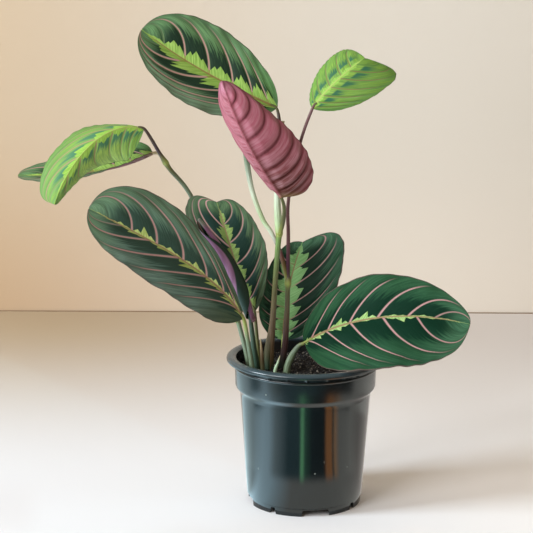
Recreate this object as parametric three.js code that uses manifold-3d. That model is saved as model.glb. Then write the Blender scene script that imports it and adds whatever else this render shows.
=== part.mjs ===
// A potted prayer plant (maranta): a slim nursery pot filled with soil, three leafy shoots and
// five leaves that rise straight from the crown. Millimetres, +Z up, the origin in the middle of
// the pot's foot on the surface that it stands on, with the plant leaning and spreading to -X.
import * as THREE from 'three';
import { mergeVertices } from 'three/addons/utils/BufferGeometryUtils.js';
import Module from 'manifold-3d';

const wasm = await Module();
wasm.setup();

// ---- driving dimensions, mm -------------------------------------------------------------------
const POT_HEIGHT = 100;
const RIM_RADIUS = 52.5;
const RIM_LIP = 3.5;             // height of the rim's outer lip
const COLLAR_RADIUS = 47;
const COLLAR_BOTTOM = 76;        // where the body steps out into the collar
const COLLAR_SHOULDER = 80;
const BEAD_HEIGHT = 93;          // a fine bead round the collar, just below the rim
const BODY_TOP_RADIUS = 43.6;
const BODY_BOTTOM_RADIUS = 38.2;
const FOOT_RADIUS = 37.6;
const FOOT_HEIGHT = 5;
const WALL = 1.6;
const FLOOR_BOTTOM = 5;
const PAD_RADIUS = 12;           // the middle of the floor reaches down to the surface
const NOTCH_HEIGHT = 4.3;
const NOTCHES = 8;               // wide and narrow in turn
const NOTCH_START = -79.5;       // degrees from +X
const NOTCH_WIDE = 19;
const NOTCH_NARROW = 5;
const DRAIN_HOLES = 6;
const DRAIN_RADIUS = 3;
const DRAIN_CIRCLE = 25;
const POT_SEGMENTS = 48;

const SOIL_LEVEL = 90;
const SOIL_ROUGH = 1;            // how far the soil's surface rises and falls
const CLEAR = 0.3;               // gap between pieces that rest on each other
const BURIED = 16;               // how deep the stems stand in the soil

const BLADE = 0.9;               // thickness of a leaf
const LEAF_ROWS = 16;
const LEAF_COLUMNS = 6;
const ROLL_COLUMNS = 13;
const TUBE_SIDES = 7;

// ---- small helpers ----------------------------------------------------------------------------
const DEGREE = Math.PI / 180;
const vector = (p) => new THREE.Vector3(p[0], p[1], p[2]);
const mix = (pair, u) => pair[0] + (pair[1] - pair[0]) * u;
// a smooth curve through the three values of m at u = 0, 0.5 and 1
const baseMidTip = (m, u) => m[0] * (1 - u) * (1 - 2 * u) + 4 * m[1] * u * (1 - u) + m[2] * u * (2 * u - 1);

function finish(colour, roughness) {
  return new THREE.MeshStandardMaterial({ color: colour, roughness, metalness: 0 });
}

function closedMesh(positions, indices) {
  const geometry = new THREE.BufferGeometry();
  geometry.setAttribute('position', new THREE.Float32BufferAttribute(positions, 3));
  geometry.setIndex(indices);
  return geometry;
}

function toManifold(geometry) {
  const bare = geometry.clone();
  bare.deleteAttribute('normal');
  bare.deleteAttribute('uv');
  const merged = mergeVertices(bare, 1e-4);
  return new wasm.Manifold(new wasm.Mesh({
    numProp: 3,
    vertProperties: new Float32Array(merged.attributes.position.array),
    triVerts: new Uint32Array(merged.index.array),
  }));
}

function fromManifold(solid) {
  const mesh = solid.getMesh();
  return closedMesh(Array.from(mesh.vertProperties), Array.from(mesh.triVerts));
}

function unionOf(geometries) {
  return fromManifold(geometries.map(toManifold).reduce((sum, next) => sum.add(next)));
}

// A closed tube through hand-set points, with one radius at each point and flat ends.
function stemTube(points, radii, steps, sides = TUBE_SIDES) {
  const curve = new THREE.CatmullRomCurve3(points.map(vector));
  const frames = curve.computeFrenetFrames(steps, false);
  const positions = [];
  const indices = [];
  for (let i = 0; i <= steps; i += 1) {
    const u = i / steps;
    const place = curve.getPointAt(u);
    const along = curve.getUtoTmapping(u, 0) * (radii.length - 1);
    const k = Math.min(Math.floor(along), radii.length - 2);
    const radius = mix([radii[k], radii[k + 1]], along - k);
    for (let j = 0; j < sides; j += 1) {
      const angle = (j / sides) * 2 * Math.PI;
      const spoke = frames.normals[i].clone().multiplyScalar(Math.cos(angle) * radius);
      spoke.addScaledVector(frames.binormals[i], Math.sin(angle) * radius).add(place);
      positions.push(spoke.x, spoke.y, spoke.z);
    }
  }
  for (let i = 0; i < steps; i += 1) {
    for (let j = 0; j < sides; j += 1) {
      const a = i * sides + j;
      const b = i * sides + ((j + 1) % sides);
      indices.push(a, b, b + sides, a, b + sides, a + sides);
    }
  }
  const last = steps * sides;
  for (let j = 1; j < sides - 1; j += 1) {
    indices.push(0, j + 1, j, last, last + j, last + j + 1);
  }
  return closedMesh(positions, indices);
}

// ---- the pot ----------------------------------------------------------------------------------
function potGeometry() {
  const rimBottom = POT_HEIGHT - RIM_LIP;
  const inner = COLLAR_RADIUS - WALL;
  const profile = [
    [0, 0], [PAD_RADIUS, 0], [PAD_RADIUS + 1, FLOOR_BOTTOM], [FOOT_RADIUS - WALL, FLOOR_BOTTOM],
    [FOOT_RADIUS - WALL, 0], [FOOT_RADIUS, 0], [FOOT_RADIUS + 0.2, FOOT_HEIGHT],
    [BODY_BOTTOM_RADIUS + 0.2, FOOT_HEIGHT + 0.5], [BODY_TOP_RADIUS, COLLAR_BOTTOM],
    [COLLAR_RADIUS - 0.4, COLLAR_SHOULDER], [COLLAR_RADIUS, BEAD_HEIGHT - 0.7],
    [COLLAR_RADIUS + 0.6, BEAD_HEIGHT], [COLLAR_RADIUS, BEAD_HEIGHT + 0.7],
    [COLLAR_RADIUS, rimBottom + 0.8], [RIM_RADIUS - 2, rimBottom + 0.5], [RIM_RADIUS - 1.4, rimBottom],
    [RIM_RADIUS - 0.3, rimBottom + 0.3], [RIM_RADIUS, rimBottom + 1.4], [RIM_RADIUS - 0.6, POT_HEIGHT - 0.7],
    [RIM_RADIUS - 2, POT_HEIGHT], [inner + 2, POT_HEIGHT - 0.1], [inner + 0.4, POT_HEIGHT - 1.2],
    [inner - 0.4, COLLAR_SHOULDER - 0.5], [BODY_TOP_RADIUS - WALL, COLLAR_BOTTOM - 1],
    [BODY_BOTTOM_RADIUS - WALL, FLOOR_BOTTOM + WALL], [0, FLOOR_BOTTOM + WALL],
  ];
  const turned = new THREE.LatheGeometry(profile.map(([r, z]) => new THREE.Vector2(r, z)), POT_SEGMENTS);
  turned.rotateX(Math.PI / 2);
  let pot = toManifold(turned);
  for (let i = 0; i < NOTCHES; i += 1) {
    const width = i % 2 === 0 ? NOTCH_WIDE : NOTCH_NARROW;
    const notch = new THREE.Shape([
      new THREE.Vector2(-width / 2, -1), new THREE.Vector2(width / 2, -1),
      new THREE.Vector2(width / 2 - 1, NOTCH_HEIGHT), new THREE.Vector2(1 - width / 2, NOTCH_HEIGHT),
    ]);
    const cutter = new THREE.ExtrudeGeometry(notch, { depth: 8, bevelEnabled: false });
    cutter.rotateX(Math.PI / 2);
    cutter.translate(0, -FOOT_RADIUS + 7, 0);
    cutter.rotateZ(NOTCH_START * DEGREE + Math.PI / 2 + (i / NOTCHES) * 2 * Math.PI);
    pot = pot.subtract(toManifold(cutter));
  }
  for (let i = 0; i < DRAIN_HOLES; i += 1) {
    const angle = (i / DRAIN_HOLES) * 2 * Math.PI;
    const hole = new THREE.CylinderGeometry(DRAIN_RADIUS, DRAIN_RADIUS, 4, 12);
    hole.rotateX(Math.PI / 2);
    hole.translate(DRAIN_CIRCLE * Math.cos(angle), DRAIN_CIRCLE * Math.sin(angle), FLOOR_BOTTOM + WALL / 2);
    pot = pot.subtract(toManifold(hole));
  }
  return fromManifold(pot);
}

// ---- leaves -----------------------------------------------------------------------------------
// rib:   start, two handles and tip of the midrib's curve
// half:  greatest half width; widest and round shape the outline towards the base and the tip
// face:  where the upper side looks, at the base and at the tip
// left, right (seen from above, tip forward): rise and curl of that half in degrees at the base
//        and the tip, wide at the base, middle and tip, and sweep, how far its margin lies
//        forward of the rib at the base and the tip
// wave:  height of the margin's waves and how many there are
const half = (rise, curl, wide = [1, 1, 1], sweep = [0, 0]) => ({ rise, curl, wide, sweep });
const DARK_LEAF = 0x2c4a36;
const YOUNG_LEAF = 0x7fb043;
const RED_UNDERSIDE = 0x98505c;
const LEAVES = [
  {
    name: 'leaf_top_left', colour: DARK_LEAF,
    rib: [[-20, 6, 264], [-46, 12, 275], [-76, 10, 289], [-107, 4, 314]],
    half: 28, widest: 0.56, round: [1.7, 2.3], wave: [0.6, 4],
    face: [[0, -0.9, 0.4], [-0.1, -0.9, 0.4]],
    left: half([8, 8], [10, 20], [0.9, 0.97, 0.9]), right: half([8, 8], [10, 10], [1, 1.05, 1.1]),
  },
  {
    name: 'leaf_top_right', colour: YOUNG_LEAF,
    rib: [[3, 0, 264], [8, -4, 274], [23, -7, 289], [36, -2, 297]],
    half: 24, widest: 0.55, round: [1.9, 3], wave: [0.5, 3],
    face: [[0.2, -0.85, 0.4], [0.4, -0.75, 0.5]],
    left: half([-40, -40], [-10, -20], [0.55, 0.85, 1], [0, 0.12]),
    right: half([0, -5], [0, -10], [0.82, 1, 1.02], [0.1, 0.9]),
  },
  {
    name: 'leaf_upright_red', colour: RED_UNDERSIDE,
    rib: [[-17, -22, 210], [-28, -24, 226], [-42, -26, 245], [-55, -22, 284]],
    half: 32, widest: 0.4, round: [2.7, 2], wave: [0.6, 4],
    face: [[-0.3, 0.8, 0.2], [-0.3, 0.8, 0.2]],
    left: half([0, 10], [10, 20], [0.7, 0.97, 0.75], [-0.6, 0]),
    right: half([85, 70], [10, 20], [0.3, 0.5, 0.9]),
  },
  {
    name: 'leaf_arching_young', colour: YOUNG_LEAF,
    rib: [[-106, 6, 250], [-126, 0, 257], [-150, -14, 240], [-162, -24, 205]],
    half: 26, widest: 0.5, round: [2.2, 3.5], wave: [0.5, 3],
    face: [[0, -0.2, 0.95], [-0.2, -0.7, 0.7], [-0.4, -0.9, 0.1]],
    left: half([-72, -60], [0, -30], [1.15, 0.76, 0.22]),
    right: half([-20, 0], [-20, -10], [0.8, 0.85, 0.75]),
  },
  {
    name: 'leaf_folded_left', colour: DARK_LEAF,
    rib: [[-102, 18, 232], [-123, 24, 220], [-150, 28, 215], [-192, 28, 215]],
    half: 22, widest: 0.5, round: [2.1, 2.2], wave: [0.4, 3],
    face: [[0, -0.15, 0.98], [0, -0.15, 0.98]],
    left: half([26, 0], [10, 10], [0.75, 0.8, 1]), right: half([30, 8], [10, 10]),
  },
  {
    name: 'leaf_front_left', colour: DARK_LEAF,
    rib: [[-41, -14, 128], [-57, -22, 160], [-99, -36, 184], [-138, -44, 206]],
    half: 32, widest: 0.6, round: [1.6, 2.3], wave: [0.8, 4],
    face: [[0, -0.75, 0.6], [-0.1, -0.8, 0.55]],
    left: half([8, 8], [10, 20], [1.35, 0.95, 0.93]), right: half([8, 8], [10, 10], [0.1, 0.73, 1]),
  },
  {
    name: 'leaf_back_left', colour: DARK_LEAF,
    rib: [[-34, 6, 128], [-45, 8, 150], [-51, 8, 176], [-59, 8, 201]],
    half: 26, widest: 0.56, round: [1.6, 3], wave: [0.6, 3],
    face: [[0.1, -0.9, 0.3], [0, -0.9, 0.3]],
    left: half([0, -10], [0, -50], [1.05, 1.05, 0.98], [0, 0.68]),
    right: half([5, 5], [10, 10], [0.8, 0.88, 0.6], [0, 0.1]),
  },
  {
    name: 'leaf_back_centre', colour: DARK_LEAF,
    rib: [[-15, 16, 106], [-14, 21, 126], [-11, 25, 148], [-2, 31, 170]],
    half: 28, widest: 0.5, round: [2, 2.4], wave: [0.7, 3],
    face: [[0, -0.8, 0.4], [0.02, -0.8, 0.42]],
    left: half([5, 5], [10, 14], [0.8, 0.76, 0.9], [0, -0.08]),
    right: half([5, 5], [10, 14], [1, 1.1, 1.3], [0, 0.95]),
  },
  {
    name: 'leaf_front_right', colour: DARK_LEAF,
    rib: [[-1, -15, 112], [24, -22, 132], [66, -34, 140], [104, -40, 131]],
    half: 31, widest: 0.55, round: [1.9, 2.5], wave: [0.8, 4],
    face: [[0, -0.75, 0.6], [0.1, -0.8, 0.55]],
    left: half([8, 8], [10, 10], [0.72, 0.93, 0.45]),
    right: half([8, 8], [10, 10], [1.35, 1.3, 1.35], [-0.2, 0]),
  },
  {
    name: 'leaf_rolled_young', colour: 0x3a4a38,
    rib: [[-36, -3, 124], [-42, -4, 148], [-54, -6, 170], [-71, -8, 192]],
    half: 16, widest: 0.5, round: [2, 1.6], wave: [0, 1],
    face: [[-0.6, -0.7, 0.3], [-0.6, -0.7, 0.3]],
    roll: { inner: 1.0, open: 1.8, pitch: 1.7, turns: [0.5, 0.8], start: 120 },
  },
];

function halfWidth(leaf, u) {
  const towardsBase = u < leaf.widest;
  const s = towardsBase ? (leaf.widest - u) / leaf.widest : (u - leaf.widest) / (1 - leaf.widest);
  const power = towardsBase ? leaf.round[0] : leaf.round[1];
  return leaf.half * Math.max(0, 1 - s ** power) ** (1 / power);
}

function ribFrame(leaf, u) {
  const curve = new THREE.CubicBezierCurve3(...leaf.rib.map(vector));
  const tangent = curve.getTangent(u);
  const looks = leaf.face.map((direction) => vector(direction).normalize());
  const towards = new THREE.Vector3();
  if (looks.length === 3) {
    const weights = [(1 - u) * (1 - 2 * u), 4 * u * (1 - u), u * (2 * u - 1)];
    looks.forEach((look, i) => towards.addScaledVector(look, weights[i]));
  } else {
    towards.lerpVectors(looks[0], looks[1], u);
  }
  const normal = towards.addScaledVector(tangent, -towards.dot(tangent)).normalize();
  const across = new THREE.Vector3().crossVectors(normal, tangent);
  return { place: curve.getPoint(u), tangent, normal, across };
}

// A point of the leaf's middle surface: u runs from base to tip, v from the right margin at -1
// over the midrib at 0 to the left margin at 1.
function leafPoint(leaf, u, v) {
  const frame = ribFrame(leaf, u);
  const width = Math.max(halfWidth(leaf, u), 0.8);
  if (leaf.roll) {
    const profile = halfWidth(leaf, u) / leaf.half;
    const turn = ((v + 1) / 2) * (leaf.roll.turns[0] + leaf.roll.turns[1] * profile);
    const radius = leaf.roll.inner + leaf.roll.open * profile + leaf.roll.pitch * turn;
    const angle = turn * 2 * Math.PI + leaf.roll.start * DEGREE;
    frame.place.addScaledVector(frame.across, radius * Math.cos(angle));
    return frame.place.addScaledVector(frame.normal, radius * Math.sin(angle));
  }
  const side = v >= 0 ? leaf.left : leaf.right;
  const t = Math.abs(v);
  const rise = mix(side.rise, u) * DEGREE;
  const curl = (mix(side.curl, u) || 0.01) * DEGREE;
  const reach = (width * baseMidTip(side.wide, u)) / curl;
  const out = reach * (Math.sin(rise + curl * t) - Math.sin(rise)) * Math.sign(v);
  const ripple = Math.sin(2 * Math.PI * leaf.wave[1] * u + 1.5 * v) * Math.sin(Math.PI * u);
  const up = reach * (Math.cos(rise) - Math.cos(rise + curl * t)) + leaf.wave[0] * ripple * t * t;
  frame.place.addScaledVector(frame.across, out);
  frame.place.addScaledVector(frame.normal, up);
  return frame.place.addScaledVector(frame.tangent, mix(side.sweep, u) * halfWidth(leaf, u) * t);
}

// The leaf as a thin closed blade: the middle surface moved half its thickness to each side,
// with the same triangles above and below, closed round the margin.
function leafGeometry(leaf) {
  const columns = leaf.roll ? ROLL_COLUMNS : LEAF_COLUMNS;
  const positions = [];
  const indices = [];
  const rows = [];
  for (let i = 0; i <= LEAF_ROWS; i += 1) {
    rows.push(0.5 - 0.5 * Math.cos((Math.PI * i) / LEAF_ROWS));
  }
  for (const face of [1, -1]) {
    for (const u of rows) {
      for (let j = 0; j <= columns; j += 1) {
        const v = (2 * j) / columns - 1;
        const du = leafPoint(leaf, Math.min(u + 0.01, 1), v).sub(leafPoint(leaf, Math.max(u - 0.01, 0), v));
        const dv = leafPoint(leaf, u, Math.min(v + 0.05, 1)).sub(leafPoint(leaf, u, Math.max(v - 0.05, -1)));
        const normal = new THREE.Vector3().crossVectors(dv, du).normalize();
        const point = leafPoint(leaf, u, v).addScaledVector(normal, (-face * BLADE) / 2);
        positions.push(point.x, point.y, point.z);
      }
    }
  }
  const row = columns + 1;
  const under = rows.length * row;
  for (let i = 0; i < LEAF_ROWS; i += 1) {
    for (let j = 0; j < columns; j += 1) {
      const a = i * row + j;
      indices.push(a, a + 1, a + row + 1, a, a + row + 1, a + row);
      indices.push(under + a, under + a + row + 1, under + a + 1);
      indices.push(under + a, under + a + row, under + a + row + 1);
    }
  }
  const rim = [];
  for (let j = 0; j < columns; j += 1) rim.push(j);
  for (let i = 0; i < LEAF_ROWS; i += 1) rim.push(i * row + columns);
  for (let j = columns; j > 0; j -= 1) rim.push(LEAF_ROWS * row + j);
  for (let i = LEAF_ROWS; i > 0; i -= 1) rim.push(i * row);
  rim.forEach((a, k) => {
    const b = rim[(k + 1) % rim.length];
    indices.push(a, under + b, b, a, under + a, under + b);
  });
  const geometry = closedMesh(positions, indices);
  return toManifold(geometry).volume() > 0 ? geometry : flipped(geometry);
}

function flipped(geometry) {
  const turned = geometry.clone();
  const index = Array.from(turned.index.array);
  for (let i = 0; i < index.length; i += 3) [index[i + 1], index[i + 2]] = [index[i + 2], index[i + 1]];
  turned.setIndex(index);
  return turned;
}

// ---- stems ------------------------------------------------------------------------------------
// Each stem is a list of tubes that grow together: its points and the radius at each of them.
// A stem that comes out of the soil starts BURIED below its surface.
const ROOT = SOIL_LEVEL - BURIED;
const GREEN_STEM = 0x6f7d4e;
const STEMS = [
  {
    name: 'shoot_left', colour: 0x7d8a68,
    tubes: [
      [[[-38, 2, ROOT], [-38, 2, 84], [-38, 2, 93], [-44, 8, 117], [-60, 19, 162], [-76, 21, 202],
        [-93, 17, 226]],
        [1.6, 1.6, 1.6, 1.5, 1.4, 1.4, 1.9], 18],
      [[[-93, 17, 226], [-97, 14, 233], [-101.5, 9.5, 242], [-105.2, 6.5, 249]], [1.9, 1.3, 1.1, 0.8], 7],
      [[[-93, 17, 225], [-96, 18, 230], [-98, 18, 232.3], [-101.2, 18, 232.3]], [1.9, 1.2, 1, 0.7], 6],
    ],
  },
  {
    name: 'shoot_centre', colour: GREEN_STEM,
    tubes: [
      [[[-24, -6, ROOT], [-24, -6, 84], [-24, -6, 94], [-22, -6, 123], [-20.5, -6, 150], [-18, -6, 183]],
        [3.2, 3.2, 3, 2, 1.7, 2.3], 14],
      [[[-18, -6, 181], [-18.5, -6, 190], [-19.5, -6, 210], [-18, -2, 240], [-16, 0, 259]],
        [2.2, 2.6, 2, 1.6, 0.8], 12],
      [[[-18.5, -2, 238], [-18, 1, 250], [-18.8, 4.5, 258.8], [-19.5, 5.7, 263]], [1.2, 1.3, 1, 0.7], 8],
      [[[-18, -6, 182], [-15.5, -11, 192], [-15, -17, 202], [-16.5, -21.5, 209.1]], [1.6, 1.3, 1.2, 0.9], 8],
    ],
  },
  {
    name: 'shoot_right', colour: 0x4a3a38,
    tubes: [
      [[[-15.5, 2, ROOT], [-15.5, 2, 84], [-15.5, 2, 92], [-13.5, 2, 108], [-12.5, 2, 126], [-12, 2, 157]],
        [2.2, 2.2, 2.2, 1.9, 1.6, 2.4], 14],
      [[[-12, 2, 156], [-12, 2, 180], [-12, 0, 205], [-5, -1, 241], [2.8, -0.1, 263.4]],
        [2.2, 1.2, 1.1, 1, 0.8], 16],
      [[[-12, 2, 157], [-18, 4, 172], [-29, 9, 190], [-36, 11, 209], [-40, 9, 232], [-43, 5, 252]],
        [1.9, 1.3, 1.5, 1.6, 1.7, 0.6], 16],
    ],
  },
  {
    name: 'petiole_front_left', colour: 0x8a935a,
    tubes: [[[[-35, -15, ROOT], [-35, -15, 84], [-35, -15, 92], [-38, -15, 112], [-40.8, -13.9, 127.3]],
      [1.6, 1.6, 1.5, 1.4, 1.1], 10]],
  },
  {
    name: 'petiole_back_left', colour: GREEN_STEM,
    tubes: [[[[-31, 5, ROOT], [-31, 5, 84], [-31, 5, 92], [-32.5, 6, 112], [-33.8, 6, 127.3]],
      [1.5, 1.5, 1.4, 1.2, 0.9], 10]],
  },
  {
    name: 'petiole_rolled', colour: 0x34503c,
    tubes: [[[[-32, -8, ROOT], [-32, -8, 84], [-32, -8, 92], [-34.5, -6.5, 108], [-36.4, -3.5, 123]],
      [1.9, 1.9, 1.9, 1.7, 1.3], 10]],
  },
  {
    name: 'petiole_back_centre', colour: GREEN_STEM,
    tubes: [[[[-15, 13, ROOT], [-15, 13, 83], [-15, 13, 92], [-15, 15.8, 105.3]], [1.4, 1.4, 1.3, 0.9], 8]],
  },
  {
    name: 'petiole_front_right', colour: 0x7fa474,
    tubes: [[[[-13, -12, ROOT], [-13, -12, 84], [-12.7, -12, 92], [-9.5, -12.5, 102], [-5, -14, 109.5],
      [-1.6, -14.9, 111.7]], [2.4, 2.4, 2.3, 2.1, 1.4, 0.9], 12]],
  },
  {
    name: 'sheath_front', colour: 0x8c8468,
    tubes: [[[[-28.5, -14, ROOT], [-28.5, -14, 84], [-28.5, -14, 93], [-29, -14, 103], [-30, -13, 114]],
      [1.5, 1.5, 1.5, 1.2, 0.4], 8]],
  },
  {
    name: 'sheath_tip', colour: 0x9aa882,
    tubes: [[[[-20.5, -14, ROOT], [-20.5, -14, 83], [-20.4, -14, 91], [-18.5, -14, 98], [-17, -14, 103]],
      [1.3, 1.3, 1.2, 0.8, 0.3], 7]],
  },
];

// ---- the soil ---------------------------------------------------------------------------------
function innerRadius(z) {
  const bottom = BODY_BOTTOM_RADIUS - WALL;
  const top = BODY_TOP_RADIUS - WALL;
  return mix([bottom, top], (z - FLOOR_BOTTOM - WALL) / (COLLAR_BOTTOM - 1 - FLOOR_BOTTOM - WALL));
}

function soilGeometry() {
  const floor = FLOOR_BOTTOM + WALL + CLEAR;
  const collar = COLLAR_RADIUS - WALL - 0.4 - CLEAR;
  const rings = 7;
  const profile = [
    [0, floor], [innerRadius(floor) - CLEAR, floor],
    [innerRadius(COLLAR_BOTTOM - 1) - CLEAR, COLLAR_BOTTOM - 1],
    [collar, COLLAR_SHOULDER], [collar, SOIL_LEVEL - 1],
  ];
  for (let i = 1; i <= rings; i += 1) profile.push([collar * (1 - i / rings), SOIL_LEVEL]);
  const lump = new THREE.LatheGeometry(profile.map(([r, z]) => new THREE.Vector2(r, z)), POT_SEGMENTS);
  lump.rotateX(Math.PI / 2);
  const place = lump.attributes.position;
  for (let i = 0; i < place.count; i += 1) {
    const x = place.getX(i);
    const y = place.getY(i);
    if (place.getZ(i) > SOIL_LEVEL - 0.5) {
      const bump = Math.sin(x / 5) * Math.cos(y / 6 + 1) + 0.5 * Math.sin((x + y) / 3);
      place.setZ(i, SOIL_LEVEL + SOIL_ROUGH * bump);
    }
  }
  let soil = toManifold(lump);
  for (const stem of STEMS) {
    const [points, radii] = stem.tubes[0];
    const hole = new THREE.CylinderGeometry(radii[0] + CLEAR + 0.2, radii[0] + CLEAR + 0.2, 40, 12);
    hole.rotateX(Math.PI / 2);
    hole.translate(points[0][0], points[0][1], ROOT - CLEAR + 20);
    soil = soil.subtract(toManifold(hole));
  }
  return fromManifold(soil);
}

// ---- the assembly -----------------------------------------------------------------------------
const plant = new THREE.Group();

function place(name, geometry, material) {
  const mesh = new THREE.Mesh(geometry, material);
  mesh.name = name;
  plant.add(mesh);
}

place('pot', potGeometry(), finish(0x17211f, 0.25));
place('soil', soilGeometry(), finish(0x1d1712, 0.95));
for (const stem of STEMS) {
  const tubes = stem.tubes.map(([points, radii, steps]) => stemTube(points, radii, steps));
  place(stem.name, unionOf(tubes), finish(stem.colour, 0.5));
}
for (const leaf of LEAVES) place(leaf.name, leafGeometry(leaf), finish(leaf.colour, 0.45));

export default plant;
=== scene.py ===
"""A potted prayer plant: patterned leaves, smooth stems, crumbly soil and a glossy nursery pot,
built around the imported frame. Tables are in millimetres, meshes in metres."""

import math

import bmesh
import bpy
import numpy as np
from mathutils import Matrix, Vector


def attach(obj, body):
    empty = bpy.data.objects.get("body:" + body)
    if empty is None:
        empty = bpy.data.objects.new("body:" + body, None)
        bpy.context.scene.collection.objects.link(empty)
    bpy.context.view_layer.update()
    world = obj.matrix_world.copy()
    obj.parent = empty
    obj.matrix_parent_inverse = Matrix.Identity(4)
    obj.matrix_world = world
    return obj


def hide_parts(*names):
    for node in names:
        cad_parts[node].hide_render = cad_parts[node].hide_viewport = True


MM = 0.001
SHAPE = {"Geometry": "NodeSocketGeometry"}
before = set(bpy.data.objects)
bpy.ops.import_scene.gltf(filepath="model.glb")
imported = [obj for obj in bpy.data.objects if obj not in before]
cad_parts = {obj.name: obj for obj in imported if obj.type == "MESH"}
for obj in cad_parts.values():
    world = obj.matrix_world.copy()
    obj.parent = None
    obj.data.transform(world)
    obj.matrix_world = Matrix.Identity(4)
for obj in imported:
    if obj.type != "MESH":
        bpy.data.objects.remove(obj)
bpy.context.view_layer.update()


# ---- node trees ---------------------------------------------------------------------------------
def srgb(code):
    """A linear colour from a six-figure screen colour."""
    parts = [int(code[i:i + 2], 16) / 255 for i in (0, 2, 4)]
    return (*[p / 12.92 if p <= 0.04045 else ((p + 0.055) / 1.055) ** 2.4 for p in parts], 1.0)


class Tree:
    """Short calls that add nodes to a shader or geometry tree."""

    def __init__(self, tree):
        self.tree = tree

    def add(self, kind, feeds=(), **settings):
        node = self.tree.nodes.new(kind)
        for name, value in settings.items():
            setattr(node, name, value)
        for key, value in dict(feeds).items():
            self.feed(node.inputs[key], value)
        return node

    def feed(self, socket, value):
        value = getattr(value, "socket", value)
        if isinstance(value, bpy.types.NodeSocket):
            self.tree.links.new(value, socket)
        else:
            socket.default_value = value

    def result(self, kind, feeds=(), output=0, **settings):
        return self.add(kind, feeds, **settings).outputs[output]

    def field(self, kind, feeds=(), output=0, **settings):
        return Field(self, self.result(kind, feeds, output, **settings))

    def place(self):
        """The object's own coordinates in metres."""
        return self.result("ShaderNodeTexCoord", output="Object")

    def math(self, operation, a, b=0.0):
        return self.field("ShaderNodeMath", {0: a, 1: b}, operation=operation)

    def step(self, value, low, high):
        """0 at low, 1 at high, smooth between them and level beyond."""
        feeds = {0: value, 1: low, 2: high}
        return self.field("ShaderNodeMapRange", feeds, interpolation_type="SMOOTHSTEP")

    def vector(self, x, y, z):
        return self.result("ShaderNodeCombineXYZ", {0: x, 1: y, 2: z})

    def noise(self, place, scale, detail=2.0, roughness=0.5):
        feeds = {"Vector": place, "Scale": scale, "Detail": detail, "Roughness": roughness}
        return self.field("ShaderNodeTexNoise", feeds)

    def blend(self, factor, a, b, kind="MIX"):
        feeds = {0: factor, 6: a, 7: b}
        return self.result("ShaderNodeMix", feeds, 2, data_type="RGBA", blend_type=kind)

    def layers(self, tones, lowest, *shares):
        """Lays tones over the lowest one by turns, each with its own share."""
        colour = tones[lowest]
        for name, share in shares:
            colour = self.blend(share, colour, tones[name])
        return colour

    def keep_value(self, geometry, name, value):
        """The geometry with the value stored at its points under this name."""
        feeds = {0: geometry, "Name": name, "Value": value}
        settings = {"data_type": "FLOAT", "domain": "POINT"}
        return self.result("GeometryNodeStoreNamedAttribute", feeds, **settings)

    def ramp(self, value, low, high, stops):
        """A colour that follows stops of (value, linear colour) between low and high."""
        share = self.field("ShaderNodeMapRange", {0: value, 1: low, 2: high})
        node = self.add("ShaderNodeValToRGB", {0: share})
        while len(node.color_ramp.elements) < len(stops):
            node.color_ramp.elements.new(0.5)
        for element, (at, colour) in zip(node.color_ramp.elements, stops):
            element.position = (at - low) / (high - low)
            element.color = (*colour, 1.0)
        return node.outputs[0]


class Field:
    """A number socket that can stand in a formula: each operator adds one Math node."""

    def __init__(self, tree, socket):
        self.tree = tree
        self.socket = socket

    def __add__(self, other):
        return self.tree.math("ADD", self, other)

    def __sub__(self, other):
        return self.tree.math("SUBTRACT", self, other)

    def __rsub__(self, other):
        return self.tree.math("SUBTRACT", other, self)

    def __mul__(self, other):
        return self.tree.math("MULTIPLY", self, other)

    def __truediv__(self, other):
        return self.tree.math("DIVIDE", self, other)

    def __rtruediv__(self, other):
        return self.tree.math("DIVIDE", other, self)

    def __pow__(self, other):
        return self.tree.math("POWER", self, other)

    def __abs__(self):
        return self.tree.math("ABSOLUTE", self)


def new_group(name, kind, inputs, outputs):
    """An empty node group with named inputs {name: (socket type, value)} and outputs."""
    tree = bpy.data.node_groups.new(name, kind)
    for title, (socket_type, value) in inputs.items():
        socket = tree.interface.new_socket(title, in_out="INPUT", socket_type=socket_type)
        if value is not None:
            socket.default_value = value
    for title, socket_type in outputs.items():
        tree.interface.new_socket(title, in_out="OUTPUT", socket_type=socket_type)
    made = Tree(tree)
    entry = tree.nodes.new("NodeGroupInput")
    exit_node = tree.nodes.new("NodeGroupOutput")
    return made, entry.outputs, exit_node.inputs


def new_material(name, **constants):
    """A material with one Principled shader; constants are set on the shader's own sockets."""
    material = bpy.data.materials.new(name)
    material.use_nodes = True
    shader = material.node_tree.nodes["Principled BSDF"]
    for title, value in constants.items():
        shader.inputs[title.replace("_", " ")].default_value = value
    return material, Tree(material.node_tree), shader.inputs


def surface(tree, shader, colour, roughness, height, strength, depth):
    """Feeds a shader its colour, its roughness and a relief that is depth metres deep."""
    feeds = {"Strength": strength, "Distance": depth, "Height": height}
    tree.feed(shader["Base Color"], colour)
    tree.feed(shader["Roughness"], roughness)
    tree.feed(shader["Normal"], tree.result("ShaderNodeBump", feeds))


def plain_mesh(name, points, faces, edges=()):
    mesh = bpy.data.meshes.new(name)
    mesh.from_pydata(points, edges, faces)
    return mesh


def link(name, data):
    """A new object with this data in the scene."""
    made = bpy.data.objects.new(name, data)
    bpy.context.scene.collection.objects.link(made)
    return made


def add_piece(name, mesh, node, *materials):
    """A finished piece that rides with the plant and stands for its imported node."""
    made = link(name, mesh)
    for material in materials:
        mesh.materials.append(material)
    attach(made, "root")
    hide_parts(node)


# ---- blades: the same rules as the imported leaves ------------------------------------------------
def half(rise, curl, wide=(1, 1, 1), sweep=(0, 0)):
    return {"rise": rise, "curl": curl, "wide": wide, "sweep": sweep}


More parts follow.
